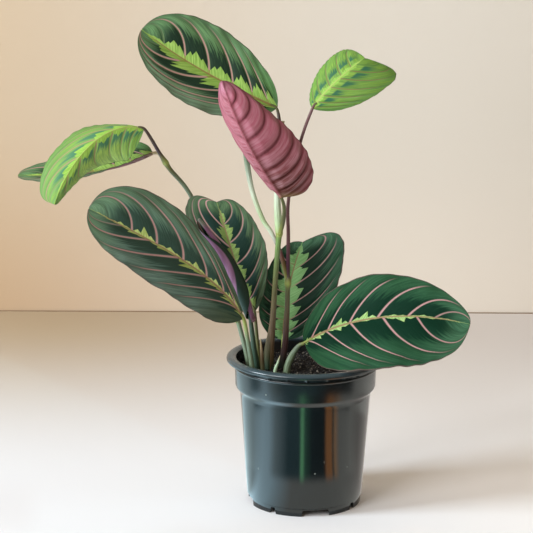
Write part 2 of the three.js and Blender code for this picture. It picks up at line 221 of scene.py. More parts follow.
# rib: start, two handles and tip of the midrib; half: the greatest half width, widest: where it
# lies from 0 at the base to 1 at the tip, round: how full the outline is towards base and tip;
# wave and frill: height and number of the broad and the small waves of the margin; face: where the
# upper side looks, at base and tip; left and right: how each half rises and curls, in degrees at
# base and tip, widens and sweeps forward; roll: the coil of a leaf that is still rolled up; veins:
# see below; quilt: how far the panels between the veins puff up, and lean how far their crests
# lean towards the base.
LEAVES = {
    "leaf_top_left": {
        "rib": ((-20, 6, 264), (-46, 12, 275), (-76, 10, 289), (-107, 4, 314)),
        "half": 28, "widest": 0.56, "round": (1.7, 2.3), "wave": (0.6, 4),
        "face": ((0, -0.9, 0.4), (-0.1, -0.9, 0.4)),
        "left": half((8, 8), (10, 20), (0.9, 0.97, 0.9)),
        "right": half((8, 8), (10, 10), (1, 1.05, 1.1)),
        "veins": ((0.41, 0.45, 0.0, 0.165), (0.16, 0.26, 0.072, 0.15)),
        "quilt": 0.9, "frill": (0.3, 9),
    },
    "leaf_top_right": {
        "rib": ((3, 0, 264), (8, -4, 274), (23, -7, 289), (36, -2, 297)),
        "half": 24, "widest": 0.55, "round": (1.9, 3), "wave": (0.5, 3),
        "face": ((0.2, -0.85, 0.4), (0.4, -0.75, 0.5)),
        "left": half((-40, -40), (-10, -20), (0.55, 0.85, 1), (0, 0.12)),
        "right": half((0, -5), (0, -10), (0.82, 1, 1.02), (0.1, 0.9)),
        "veins": ((0.04, 0.1, 0.135, 0.156), (0.13, 0.17, 0.04, 0.132)),
        "quilt": 0.6, "frill": (0.16, 17),
    },
    "leaf_upright_red": {
        "rib": ((-17, -22, 210), (-28, -24, 226), (-42, -26, 245), (-55, -22, 284)),
        "half": 32, "widest": 0.4, "round": (2.7, 2), "wave": (0.6, 4),
        "face": ((-0.3, 0.8, 0.2), (-0.3, 0.8, 0.2)),
        "left": half((0, 10), (10, 20), (0.68, 1.01, 0.78), (-0.5, -0.05)),
        "right": half((85, 70), (10, 20), (0.3, 0.5, 0.9)),
        "veins": ((0.11, 0.16, 0.09, 0.124), (0.1, 0.4, 0.09, 0.13)),
        "quilt": -2.6, "lean": 0.6, "frill": (0.3, 12),
    },
    "leaf_arching_young": {
        "rib": ((-106, 6, 250), (-126, 0, 257), (-150, -14, 240), (-162, -24, 205)),
        "half": 26, "widest": 0.5, "round": (2.2, 3.5), "wave": (0.5, 3),
        "face": ((0, -0.2, 0.95), (-0.2, -0.7, 0.7), (-0.4, -0.9, 0.1)),
        "left": half((-72, -60), (0, -30), (1.15, 0.76, 0.22)),
        "right": half((-20, 0), (-20, -10), (0.8, 0.85, 0.75)),
        "veins": ((0.24, -0.14, 0.06, 0.141), (0.34, 0.37, 0.16, 0.16)),
        "quilt": 0.6, "frill": (0.2, 14),
    },
    "leaf_folded_left": {
        "rib": ((-102, 18, 232), (-123, 24, 220), (-150, 28, 215), (-192, 28, 215)),
        "half": 22, "widest": 0.5, "round": (2.1, 2.2), "wave": (0.4, 3),
        "face": ((0, -0.15, 0.98), (0, -0.15, 0.98)),
        "left": half((12, -4), (10, 10), (0.75, 0.8, 1)), "right": half((30, 8), (10, 10)),
        "veins": ((0.15, 0.35, 0.05, 0.15), (0.15, 0.35, 0.07, 0.15)),
        "quilt": 0.4, "frill": (0.3, 9),
    },
    "leaf_front_left": {
        "rib": ((-41, -14, 128), (-57, -22, 160), (-99, -36, 184), (-138, -44, 206)),
        "half": 32, "widest": 0.6, "round": (1.6, 2.3), "wave": (0.8, 4),
        "face": ((0, -0.75, 0.6), (-0.1, -0.8, 0.55)),
        "left": half((8, 8), (10, 20), (1.35, 0.95, 0.93)),
        "right": half((8, 8), (10, 10), (0.1, 0.73, 1)),
        "veins": ((0.43, 0.01, 0.074, 0.145), (0.1, 0.35, 0.105, 0.128)),
        "quilt": 0.95, "frill": (0.3, 10),
    },
    "leaf_back_left": {
        "rib": ((-34, 6, 128), (-45, 8, 150), (-51, 8, 176), (-59, 8, 201)),
        "half": 26, "widest": 0.56, "round": (1.6, 3), "wave": (0.6, 3),
        "face": ((0.1, -0.9, 0.3), (0, -0.9, 0.3)),
        "left": half((0, -10), (0, -50), (1.05, 1.05, 0.98), (0, 0.68)),
        "right": half((5, 5), (10, 10), (0.8, 0.88, 0.6), (0, 0.1)),
        "veins": ((0.36, 0.34, 0.1, 0.16), (0.09, 0.26, 0.135, 0.16)),
        "quilt": 0.85, "frill": (0.3, 9),
    },
    "leaf_back_centre": {
        "rib": ((-15, 16, 106), (-14, 21, 126), (-11, 25, 148), (-2, 31, 170)),
        "half": 28, "widest": 0.5, "round": (2, 2.4), "wave": (0.7, 3),
        "face": ((0, -0.8, 0.4), (0.02, -0.8, 0.42)),
        "left": half((5, 5), (10, 14), (0.8, 0.66, 0.6), (0, -0.08)),
        "right": half((5, 5), (10, 14), (1.1, 1.18, 1.08), (0, 1.15)),
        "veins": ((0.04, 0.1, 0.115, 0.126), (0.16, 0.24, 0.06, 0.157)),
        "quilt": 0.85, "frill": (0.3, 9),
    },
    "leaf_front_right": {
        "rib": ((-1, -15, 112), (24, -22, 132), (66, -34, 140), (104, -40, 131)),
        "half": 31, "widest": 0.55, "round": (1.9, 2.5), "wave": (0.8, 4),
        "face": ((0, -0.75, 0.6), (0.1, -0.8, 0.55)),
        "left": half((8, 8), (10, 10), (0.72, 0.93, 0.45)),
        "right": half((8, 8), (10, 10), (1.35, 1.3, 1.35), (-0.2, 0)),
        "veins": ((0.21, 0.11, 0.06, 0.144), (0.23, 0.31, 0.028, 0.163)),
        "quilt": 0.95, "frill": (0.3, 10),
    },
    "leaf_rolled_young": {
        "rib": ((-36, -3, 124), (-42, -4, 148), (-54, -6, 170), (-71, -8, 192)),
        "half": 16, "widest": 0.5, "round": (2, 1.6),
        "face": ((-0.6, -0.7, 0.3), (-0.6, -0.7, 0.3)),
        "roll": {"inner": 1.0, "open": 1.8, "pitch": 1.7, "turns": (0.5, 0.8), "start": 120},
        "veins": ((0.2, 0.3, 0.05, 0.14), (0.2, 0.3, 0.07, 0.14)),
        "quilt": 0.0, "frill": (0, 1),
    },
}

# Side veins leave the midrib in steps that are widest half way along, and bend towards the tip.
# Each half has the values slope, bend, first and spacing: the vein that starts at u = s passes
# u = s + slope t + bend t^3 at the share t of the way to the margin, and the starts follow
# s + CROWDING sin(2 pi s) = first + spacing times a whole number.
CROWDING = 0.03
# Base and tip end this wide, and a flat half is bent by this angle so that it divides.
LEAST_WIDTH = 0.8
LEAST_CURL = 2e-4


def mix(pair, u):
    return pair[0] + (pair[1] - pair[0]) * u


def base_mid_tip(values, u):
    """A smooth curve through three values at u = 0, 0.5 and 1."""
    a, b, c = values
    return a * (1 - u) * (1 - 2 * u) + 4 * b * u * (1 - u) + c * u * (2 * u - 1)


def unit(vectors):
    return vectors / np.linalg.norm(vectors, axis=-1, keepdims=True)


def ease(x, low, high):
    """0 at low, 1 at high, smooth between them."""
    s = np.clip((x - low) / (high - low), 0, 1)
    return s * s * (3 - 2 * s)


def half_width(leaf, u):
    widest = leaf["widest"]
    towards_base = u < widest
    s = np.where(towards_base, (widest - u) / widest, (u - widest) / (1 - widest))
    power = np.where(towards_base, *leaf["round"])
    return leaf["half"] * np.maximum(0, 1 - s ** power) ** (1 / power)


def rib_frame(leaf, u):
    """Place, direction, upward normal and leftward direction of the midrib."""
    a, b, c, d = (np.array(p, float) for p in leaf["rib"])
    w = u[..., None]
    place = (1 - w) ** 3 * a + 3 * (1 - w) ** 2 * w * b + 3 * (1 - w) * w ** 2 * c + w ** 3 * d
    along = unit((1 - w) ** 2 * (b - a) + 2 * (1 - w) * w * (c - b) + w ** 2 * (d - c))
    looks = [unit(np.array(look, float)) for look in leaf["face"]]
    towards = base_mid_tip(looks, w) if len(looks) == 3 else looks[0] + (looks[1] - looks[0]) * w
    normal = unit(towards - (towards * along).sum(-1, keepdims=True) * along)
    return place, along, normal, np.cross(normal, along)


def blade_point(leaf, u, v):
    """A point of the middle surface: u from base to tip, v from the right margin at -1 over the
    midrib at 0 to the left margin at 1."""
    place, along, normal, across = rib_frame(leaf, u)
    profile = half_width(leaf, u)
    if "roll" in leaf:
        roll = leaf["roll"]
        share = profile / leaf["half"]
        turn = (v + 1) / 2 * (roll["turns"][0] + roll["turns"][1] * share)
        radius = roll["inner"] + roll["open"] * share + roll["pitch"] * turn
        angle = turn * 2 * np.pi + math.radians(roll["start"])
        place = place + across * (radius * np.cos(angle))[..., None]
        return place + normal * (radius * np.sin(angle))[..., None]
    t = np.abs(v)
    out, up, forward = 0, 0, 0
    ripple = np.sin(2 * np.pi * leaf["wave"][1] * u + 1.5 * v) * np.sin(np.pi * u)
    for sign, side in ((1, leaf["left"]), (-1, leaf["right"])):
        chosen = v >= 0 if sign > 0 else v < 0
        rise = np.radians(mix(side["rise"], u))
        curl = np.radians(mix(side["curl"], u))
        curl = np.where(np.abs(curl) < LEAST_CURL, LEAST_CURL, curl)
        reach = np.maximum(profile, LEAST_WIDTH) * base_mid_tip(side["wide"], u) / curl
        out = out + chosen * sign * reach * (np.sin(rise + curl * t) - np.sin(rise))
        up = up + chosen * reach * (np.cos(rise) - np.cos(rise + curl * t))
        forward = forward + chosen * mix(side["sweep"], u) * profile * t
    up = up + leaf["wave"][0] * ripple * t * t
    return place + across * out[..., None] + normal * up[..., None] + along * forward[..., None]


def panel_puff(leaf, u, v):
    """0 on a side vein and 1 in the middle of the panel between two of them."""
    t = np.abs(v)
    slope, bend, first, spacing = (
        np.where(v < 0, right, left) for left, right in zip(*leaf["veins"]))
    start = u - slope * t - bend * t ** 3
    phase = (start + CROWDING * np.sin(2 * np.pi * start) - first) / spacing
    panel = (phase - np.floor(phase)) ** leaf.get("lean", 1)
    return np.sin(np.pi * panel) ** 0.7 * ease(phase, -1.2, 0)


def relief(leaf, u, v, reach):
    """How far the blade stands above its middle surface: puffed panels, a sunken midrib and a
    finely frilled margin."""
    t = np.abs(v)
    ends = ease(u, 0, 0.12) * ease(u, 1, 0.86)
    puffed = leaf["quilt"] * panel_puff(leaf, u, v) * ease(t, 0.02, 0.25) * ease(t, 1, 0.75) * ends
    height, count = leaf["frill"]
    frill = height * np.sin(2 * np.pi * count * u + 2 * np.sin(7 * u)) * t ** 8 * ends
    groove = 0.45 * np.exp(-(t * reach / 1.4) ** 2) * ease(u, 1, 0.8)
    return puffed + frill - groove


def blade_mesh(name, leaf, rows=150, columns=100):
    """One closed blade with its upper side in the first material slot and its underside in the
    second. The UV map 'blade' holds u and v, the attribute 'reach' the distance in millimetres
    from midrib to margin."""
    s = np.linspace(-1, 1, columns + 1)
    u, v = np.meshgrid(0.5 - 0.5 * np.cos(np.pi * np.arange(rows + 1) / rows),
                       np.sign(s) * np.abs(s) ** 1.25, indexing="ij")
    nicks = 0.006 * np.sin(29 * u + 2 * np.sign(v)) + 0.004 * np.sin(71 * u + 5 * np.sign(v))
    rolled = "roll" in leaf
    middle = blade_point(leaf, u, v if rolled else v * (1 + nicks * np.abs(v) ** 3))
    normal = unit(np.cross(np.gradient(middle, axis=0), np.gradient(middle, axis=1)))
    sides = np.maximum(half_width(leaf, u), LEAST_WIDTH)
    if rolled:
        reach = sides
    else:
        wide = [base_mid_tip(leaf[side]["wide"], u) for side in ("right", "left")]
        reach = sides * np.where(v < 0, *wide)
    height = relief(leaf, u, v, reach)
    # Half a millimetre thick, half that at the margin, with a keel that dies away to the tip.
    thick = 0.5 - 0.25 * np.abs(v) ** 4
    keel = (0.75 - 0.6 * u) * np.exp(-(np.abs(v) * reach / (1.1 - 0.5 * u)) ** 2)
    upper = middle + normal * (height + thick / 2)[..., None]
    lower = middle + normal * (height - thick / 2 - keel)[..., None]

    count = u.size
    index = np.arange(count).reshape(u.shape)
    a, b = index[:-1, :-1].ravel(), index[1:, :-1].ravel()
    c, d = index[1:, 1:].ravel(), index[:-1, 1:].ravel()
    rim = np.concatenate([index[0, :-1], index[:-1, -1], index[-1, :0:-1], index[:0:-1, 0]])
    after = np.roll(rim, -1)
    faces = np.concatenate([
        np.stack([a, b, c, d], 1),
        np.stack([a, d, c, b], 1) + count,
        np.stack([rim, after, after + count, rim + count], 1),
    ])
    points = np.concatenate([upper.reshape(-1, 3), lower.reshape(-1, 3)]) * MM
    mesh = plain_mesh(name, points, faces)
    blade_uv = np.stack([np.tile(u.ravel(), 2), np.tile((v.ravel() + 1) / 2, 2)], 1)
    layer = mesh.uv_layers.new(name="blade")
    layer.data.foreach_set("uv", blade_uv[faces.ravel()].ravel())
    stored = mesh.attributes.new("reach", "FLOAT", "POINT")
    stored.data.foreach_set("value", np.tile(reach.ravel(), 2))
    under = np.zeros(len(faces), np.int32)
    under[len(a):2 * len(a)] = 1
    mesh.polygons.foreach_set("material_index", under)
    mesh.polygons.foreach_set("use_smooth", np.ones(len(faces), bool))
    mesh.update()
    return mesh


# ---- leaf materials -----------------------------------------------------------------------------
HALVES = ("Left", "Right")
VEIN_VALUES = ("slope", "bend", "first", "spacing")
# The usual markings. Lengths, widths, patch, lobe and gap are in millimetres; reach and start are
# shares of the way to the margin; lobe base and tip are how far a lobe spreads in its panel.
MARKS = {
    "Length": 110.0, "Vein width": 1.0, "Vein reach": 0.92, "Rib width": 1.3, "Patch": 2.4,
    "Lobe": 7.0, "Lobe base": 0.33, "Lobe tip": 0.33, "Teeth": 1.0, "Skip": 0.0, "Dark start": 0.0,
    "Dark reach": 0.55, "Dark gap": 0.1, "Seed": 0.0,
}
# Noise and chance differ between the halves and from leaf to leaf by these steps.
SIDE_STEP = 31
SEED_STEP = 7.0


def markings_group():
    """Where veins, patch, dark panels and streaks lie on a blade, from its own coordinates."""
    inputs = {name: ("NodeSocketFloat", value) for name, value in MARKS.items()}
    inputs.update({f"{half_name} {value}": ("NodeSocketFloat", 0.1)
                   for half_name in HALVES for value in VEIN_VALUES})
    names = (
        "Vein", "Rib", "Patch", "Dark", "Streak", "Fine", "Edge", "Along", "Across", "Puff", "Left")
    outputs = {name: "NodeSocketFloat" for name in names}
    tree, sockets, made = new_group("blade_markings", "ShaderNodeTree", inputs, outputs)
    given = {name: Field(tree, sockets[name]) for name in inputs}
    blade = tree.result("ShaderNodeUVMap", uv_map="blade")
    u = tree.field("ShaderNodeSeparateXYZ", {0: blade})
    v = tree.field("ShaderNodeSeparateXYZ", {0: blade}, 1) * 2 - 1
    reach = tree.field("ShaderNodeAttribute", output=2, attribute_name="reach")
    t = abs(v)
    right = tree.math("LESS_THAN", v, 0)
    side = right * SIDE_STEP + given["Seed"]
    slope, bend, first, spacing = (
        given["Left " + value] + (given["Right " + value] - given["Left " + value]) * right
        for value in VEIN_VALUES)

    # The vein through this point starts at start; phase counts the panels from the first vein.
    start = u - t * slope - t ** 3 * bend
    crowded = start + tree.math("SINE", start * (2 * math.pi)) * CROWDING
    phase = (crowded - first) / spacing
    panel = tree.math("FRACT", phase)
    number = tree.math("FLOOR", phase) + side
    chance = tree.field("ShaderNodeTexWhiteNoise", {"W": number}, noise_dimensions="1D")
    slant = (t * t * bend * 3 + slope) / reach
    grade = ((1 / given["Length"]) ** 2 + slant * slant) ** 0.5
    from_vein = abs(phase - tree.math("ROUND", phase)) * spacing / grade
    across = t * reach

    # Broad and fine streaks run along the side veins.
    streak = tree.step(tree.noise(tree.vector(start * 60, t * 2, side), 1.0, 3.0, 0.6), 0.34, 0.66)
    fine = tree.step(tree.noise(tree.vector(start * 120, t * 3, side), 1.0, 2.0, 0.6), 0.35, 0.65)

    # Side veins and midrib are drawn as soft lines that thin out and end before margin and tip.
    drawn = tree.step(phase, -0.5, -0.3) * (1 - tree.step(start, 0.78, 0.86))
    width = given["Vein width"] * (0.55 - t * 0.3)
    vein = (1 - tree.step(from_vein, width - 0.25, width + 0.25)) * drawn
    vein = vein * (1 - tree.step(t, given["Vein reach"] - 0.25, given["Vein reach"] + 0.04))
    rib_half = given["Rib width"] * (0.6 - u * 0.4)
    rib = (1 - tree.step(across, rib_half - 0.2, rib_half + 0.2)) * (1 - tree.step(u, 0.88, 0.98))

    # The pale patch is a band along the midrib with a lobe and small teeth in each panel.
    from_peak = panel - 0.5
    towards_base = from_peak * -1 / given["Lobe base"]
    slope_down = tree.math("MAXIMUM", from_peak / given["Lobe tip"], towards_base)
    teeth = (0.66 - abs(abs(from_peak) - 0.26) * 3.2) * given["Teeth"]
    crown = tree.math("MAXIMUM", tree.math("MAXIMUM", 1 - slope_down, teeth), 0)
    kept = 1 - given["Skip"] * (1 - tree.step(chance, 0.3, 0.6))
    taper = tree.step(start, -0.14, 0.04) * (1 - tree.step(u, 0.74, 0.98)) * 0.94 + 0.06
    ragged = tree.noise(tree.vector(start * 36, t * 7, side), 1.0, 2.0) - 0.5
    margin = given["Lobe"] * crown * (chance * 0.3 + 0.75) * kept + given["Patch"]
    margin = (margin + ragged * 0.6) * taper
    patch = tree.step(margin - across, -0.22, 0.22)

    # Dark areas keep off the veins and end in streaks on the way to the margin.
    dark_end = given["Dark reach"] * (streak * 0.45 + fine * 0.15 + chance * 0.2 + 0.6)
    dark = 1 - tree.step(t, dark_end - 0.14, dark_end + 0.08)
    dark = dark * tree.step(from_vein, given["Dark gap"], given["Dark gap"] + 1.1)
    dark = dark * tree.step(t, given["Dark start"] - 0.03, given["Dark start"] + 0.03)
    dark = dark * (1 - tree.step(u, 0.84, 0.97))

    results = {
        "Vein": vein, "Rib": rib, "Patch": patch, "Dark": dark, "Streak": streak, "Fine": fine,
        "Edge": tree.step(t, 0.972, 0.988), "Along": u, "Across": t,
        "Puff": tree.step(from_vein, 0.0, 2.4), "Left": 1 - right,
    }
    for name, value in results.items():
        tree.feed(made[name], value)
    return tree.tree


MARKINGS = markings_group()

# Screen colours of the upper sides.
MATURE = {
    "green": "56785a", "light": "80ad68", "dark": "0c271c", "patch": "789f42", "patch_light": "9fc464",
    "vein": "b88e88", "inner_vein": "86683a", "rib": "8a6a44", "edge": "4a4a3a", "base": "629848",
    "tip": "6f9e6c", "left_margin_and_sheen": "86a086", "right_margin_and_sheen": "6a9266", "right_half_painted_light": "4c7a42",
}
DEEP = {
    **MATURE, "green": "234a32", "light": "2d563c", "dark": "0c2c1f", "patch": "7fa65a",
    "patch_light": "a9c987", "vein": "b88e8e", "inner_vein": "967a5a", "rib": "8f7058", "edge": "5f4a4a",
    "base": "2a5434", "tip": "5a8a6a", "left_margin_and_sheen": "325a3c", "right_margin_and_sheen": "2c5238",
    "right_half_painted_light": "234a30",
}
# SHEEN paints a bluish grey sheen into its greens, where these leaves catch the window's gloss.
SHEEN = {
    **DEEP, "green": "54766c", "light": "6a8c7c", "dark": "243f34", "tip": "7aa47a", "vein": "b48a88",
    "left_margin_and_sheen": "708a80", "right_margin_and_sheen": "627e5e", "base": "4a4f28", "patch": "8fa650",
    "patch_light": "b8c87c", "right_half_painted_light": "48684c",
}
YOUNG = {
    **MATURE, "green": "6e9230", "light": "8ab04a", "dark": "2c5f48", "patch": "80ac42",
    "patch_light": "9cc85c", "vein": "a08668", "inner_vein": "a3a560", "rib": "a0b060",
    "edge": "5e7030", "base": "6f9a32", "tip": "769c3a", "left_margin_and_sheen": "709c40", "right_margin_and_sheen": "709438",
    "right_half_painted_light": "6e9230",
}


def marked(material_tree, leaf, marks):
    """The blade's markings as fields, with the leaf's own veins."""
    node = material_tree.add("ShaderNodeGroup", node_tree=MARKINGS)
    veins = {f"{half_name} {value}": number for half_name, numbers in zip(HALVES, leaf["veins"])
             for value, number in zip(VEIN_VALUES, numbers)}
    for title, value in {**MARKS, **veins, **marks}.items():
        node.inputs[title].default_value = value
    return {socket.name: Field(material_tree, socket) for socket in node.outputs}


def blade_material(name, leaf, palette, marks, shine):
    """The upper side: streaked green with dark panels, a jagged pale patch, drawn veins, painted sheen and
    shade.
    """
    material, tree, shader = new_material(name, Specular_IOR_Level=shine)
    mark = marked(tree, leaf, marks)
    tone = {key: srgb(code) for key, code in palette.items()}
    # The margin tones are the paler margin zone with a painted sheen, which differs between the halves.
    tone["margin"] = tree.blend(mark["Left"], tone["right_margin_and_sheen"], tone["left_margin_and_sheen"])
    tone["pale"] = tree.blend(mark["Fine"], tone["patch"], tone["patch_light"])
    tone["line"] = tree.blend(mark["Patch"], tone["vein"], tone["inner_vein"])
    colour = tree.layers(
        tone, "green",
        # painted light and shade: the right half has its own tone for how the light falls on it
        ("right_half_painted_light", (1 - mark["Left"]) * 0.6),
        ("light", mark["Streak"]),
        ("margin", tree.step(mark["Across"], 0.35, 0.95) * 0.75),
        ("base", (1 - tree.step(mark["Along"], 0.05, 0.4)) * 0.7),
        # partly painted sheen: the tip tone carries a bluish gloss towards the tip
        ("tip", tree.step(mark["Along"], 0.75, 1.0) * 0.7),
        ("dark", (1 - mark["Fine"]) * 0.45),
        ("dark", mark["Dark"] * 0.95),
        # painted shade: darker beside each side vein, in the creases between the puffed panels
        ("dark", (1 - mark["Puff"]) * 0.35),
        ("pale", mark["Patch"]),
        ("line", mark["Vein"] * (0.92 - mark["Patch"] * 0.35)),
        ("rib", mark["Rib"] * 0.85),
        ("edge", mark["Edge"] * 0.7),
    )
    rough = tree.noise(tree.place(), 90.0, 3.0) * 0.16 + 0.46
    surface(tree, shader, colour, rough, mark["Fine"] * 0.5 + mark["Puff"], 0.45, 0.0003)
    return material


# Screen colours of the undersides.
PURPLE = {
    "lower": "4a1f2a", "upper": "6b3244", "base": "5c4a30", "pale": "8a5664", "deep": "35121c",
    "vein": "8c6268", "margin": "5a2c38", "other_half": "4a1f2a", "tip": "6b3244",
}
RED = {
    **PURPLE, "lower": "56281f", "upper": "a2586a", "base": "7c6e40", "pale": "c29aa6", "deep": "521e22",
    "vein": "96505a", "margin": "884854", "other_half": "8e4852", "tip": "a8687c",
}
MAUVE = {
    **PURPLE, "lower": "8a5f7c", "upper": "9a7094", "pale": "b094b0", "deep": "6c4462",
    "margin": "8f6888", "other_half": "8c6288", "tip": "93aa94",
}

# The rolled leaf's outermost turn shows its upper side.
OUTERMOST_TURN = "1c3226"


def underside_material(name, leaf, palette, marks):
    """The underside: purple-red, paler towards the tip, with painted sheen on each panel and painted shade
    in creases.
    """
    material, tree, shader = new_material(name, Specular_IOR_Level=0.3)
    mark = marked(tree, leaf, marks)
    tone = {key: srgb(code) for key, code in palette.items()}
    colour = tree.layers(
        tone, "lower",
        ("upper", tree.step(mark["Along"], 0.0, 0.85)),
        ("other_half", (1 - mark["Left"]) * 0.6),
        ("margin", tree.step(mark["Across"], 0.6, 1.0) * 0.5),
        ("tip", tree.step(mark["Along"], 0.9, 0.97)),
        ("base", (1 - tree.step(mark["Along"], 0.0, 0.07)) * 0.8),
        # painted sheen: paler streaks on the crown of each puffed panel
        ("pale", mark["Streak"] * mark["Puff"] * 0.3),
        # painted shade: darker in the creases between the panels
        ("deep", (1 - mark["Puff"]) ** 2 * 0.42),
        ("vein", mark["Rib"] * 0.3),
        ("deep", mark["Edge"] * 0.5),
    )
    if "roll" in leaf:
        turned = mark["Across"] * (mark["Left"] * 2 - 1) - mark["Along"] * 0.8
        colour = tree.blend(tree.step(turned, 0.2, 0.26), colour, srgb(OUTERMOST_TURN))
    rough = tree.noise(tree.place(), 90.0, 3.0) * 0.14 + 0.4
    surface(tree, shader, colour, rough, mark["Fine"] * 0.4 + mark["Streak"] * 0.4, 0.4, 0.0003)
    return material


# What differs from the usual markings.
LOBED = {"Dark reach": 0.62}
SMALL = {
    "Patch": 0.7, "Lobe": 5.2, "Lobe base": 0.42, "Lobe tip": 0.26, "Skip": 0.4, "Dark reach": 0.66,
}
SPARSE = {
    "Patch": 0.35, "Lobe": 4.6, "Lobe base": 0.24, "Lobe tip": 0.17, "Teeth": 0.6, "Skip": 0.5,
    "Dark reach": 0.5, "Vein width": 0.95,
}
TOOTHED = {
    "Patch": 3.8, "Lobe": 7.0, "Lobe base": 0.85, "Lobe tip": 0.3, "Teeth": 0.5, "Dark reach": 0.72,
}
SOFT = {
    "Patch": 1.3, "Lobe": 4.0, "Teeth": 0.8, "Dark reach": 0.42, "Dark gap": 0.9, "Vein width": 0.8,
}
# Each leaf's colours and markings above and its colours below.
LOOKS = {
    "leaf_top_left": (MATURE, LOBED, PURPLE),
    "leaf_top_right": ({**YOUNG, "vein": "8a6a4c", "patch": "7ca43e", "patch_light": "90bc58"},
                       {**SOFT, "Patch": 0.9, "Lobe": 1.6, "Dark start": 0.2, "Dark gap": 1.5}, RED),
    "leaf_upright_red": (MATURE, LOBED, RED),
    "leaf_arching_young": ({**YOUNG, "green": "b0d668", "left_margin_and_sheen": "b4d876", "dark": "42785a",
                            "right_half_painted_light": "6a8c2c"}, SOFT, RED),
    "leaf_folded_left": (MATURE, {**LOBED, "Patch": 2.5}, RED),
    "leaf_front_left": (SHEEN, {**SPARSE, "Lobe": 5.4}, PURPLE),
    "leaf_back_left": ({**SHEEN, "green": "41603a", "light": "6a8860", "dark": "12302a",
                        "patch": "708c48", "patch_light": "8ea65e", "right_half_painted_light": "4c6040",
                        "left_margin_and_sheen": "5c6a4c", "tip": "5a7850"},
                       SMALL, PURPLE),
    "leaf_back_centre": ({**DEEP, "green": "355c44", "light": "4a7a5c", "patch": "6fa362",
                          "patch_light": "8fc083"}, TOOTHED, PURPLE),
    "leaf_front_right": (DEEP, {**SPARSE, "Skip": 0.75}, PURPLE),
    "leaf_rolled_young": (DEEP, SPARSE, MAUVE),
}
# How strongly the upper sides mirror the window.
USUAL_SHINE = 0.16
SHINE = {"leaf_front_right": 0.04, "leaf_front_left": 0.3, "leaf_top_left": 0.22}
for number, (name, leaf) in enumerate(LEAVES.items()):
    palette, marks, under_palette = LOOKS[name]
    marks = {**marks, "Seed": number * SEED_STEP}
    shine = SHINE.get(name, USUAL_SHINE)
    upper = blade_material(name + "_upper", leaf, palette, marks, shine)
    under = underside_material(name + "_under", leaf, under_palette, marks)
    add_piece(name.replace("leaf", "blade"), blade_mesh(name, leaf), name, upper, under)


# ---- stems --------------------------------------------------------------------------------------
TINTS = {
    "grey_green": "6f8268", "pale_green": "b2ca9c", "olive": "5f6238", "dark_olive": "4a4a30",
    "yellow_green": "8f9c4c", "mint": "a9c3a0", "silver": "c4d0ba", "brown": "4c382e",
    "purple": "4a2f30", "maroon": "6a4244", "olive_brown": "5c4c34", "leaf_green": "6f8f4e",
    "dark_green": "2f4a3a", "straw": "b5a57c", "deep": "232a20",
}
